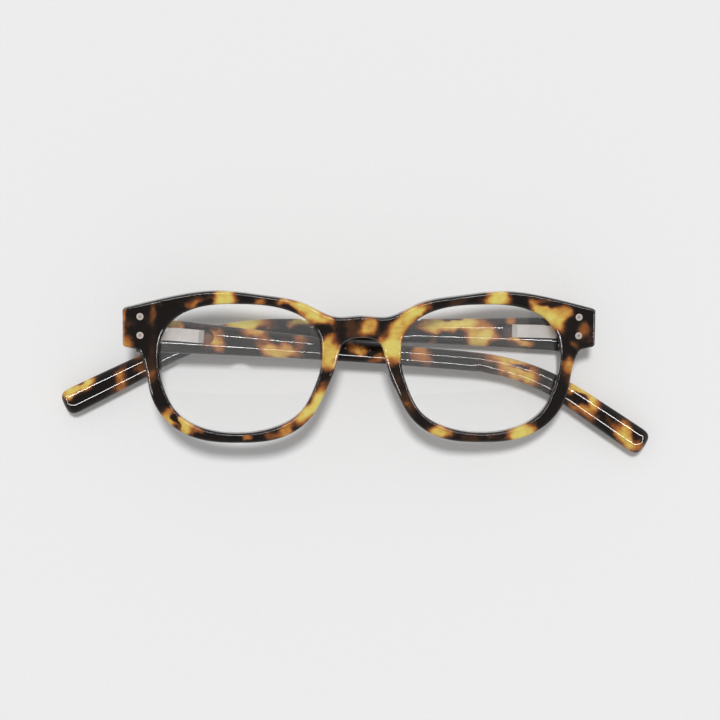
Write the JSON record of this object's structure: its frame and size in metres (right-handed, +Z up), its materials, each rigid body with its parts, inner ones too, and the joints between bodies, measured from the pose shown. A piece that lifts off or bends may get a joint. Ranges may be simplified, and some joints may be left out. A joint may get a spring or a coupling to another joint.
{
  "type": "folding reading glasses",
  "caption": "Folded reading glasses with a tortoise acetate front, clear lenses, spring hinges and bent ear hooks, lying on their back.",
  "frame": {"origin": "on the flat outer face of the left temple, the face the folded glasses rest on, straight below the middle of the front", "axes": "+Z up from the table, +Y towards the brow edge of the front, +X towards the wearer's left; the glasses lie folded on their back"},
  "size_m": [0.1694, 0.0463, 0.0237],
  "materials": {
    "tortoise_acetate": "polished acetate mottled black, amber and pale yellow",
    "clear_lens": "clear polished lens",
    "rivet_steel": "satin",
    "nickel_silver": "satin nickel silver",
    "spring_steel": "bright drawn wire and turned steel",
    "stop_brass": "machined"
  },
  "bodies": {
    "front": {"front_frame": "tortoise_acetate", "right_lens": "clear_lens", "left_lens": "clear_lens", "front_rivets": "rivet_steel", "right_front_hinge": "nickel_silver", "left_front_hinge": "nickel_silver", "hinge_screws": "spring_steel"},
    "right_slider": {"right_spring_slider": "nickel_silver", "right_slider_rod": "spring_steel", "right_hinge_spring": "spring_steel"},
    "right_temple": {"right_temple": "tortoise_acetate", "right_hinge_housing": "nickel_silver", "right_spring_stop": "stop_brass"},
    "left_slider": {"left_spring_slider": "nickel_silver", "left_slider_rod": "spring_steel", "left_hinge_spring": "spring_steel"},
    "left_temple": {"left_temple": "tortoise_acetate", "left_hinge_housing": "nickel_silver", "left_spring_stop": "stop_brass"}
  },
  "joints": [
    {"name": "right_temple_hinge", "type": "hinge", "parent": "front", "child": "right_slider", "pos_m": [-0.06204, -0.00045, 0.01436], "axis": [0.0801, 0.9963, -0.0321], "range_deg": [0, 90.7]},
    {"name": "right_spring_slide", "type": "slide", "parent": "right_slider", "child": "right_temple", "axis": [0.9948, -0.0819, -0.0608], "range_m": [0, 0.0015], "stiffness_N_per_m": 3000},
    {"name": "left_temple_hinge", "type": "hinge", "parent": "front", "child": "left_slider", "pos_m": [0.06062, -0.00045, 0.00535], "axis": [-0.0174, -0.9995, -0.0249], "range_deg": [0, 85.8]},
    {"name": "left_spring_slide", "type": "slide", "parent": "left_slider", "child": "left_temple", "axis": [-0.9998, 0.0174, 0], "range_m": [0, 0.0015], "stiffness_N_per_m": 3000}
  ],
  "couplings": [
    {"joint": "right_temple_hinge", "follows": "left_temple_hinge", "ratio": 1.057}
  ]
}
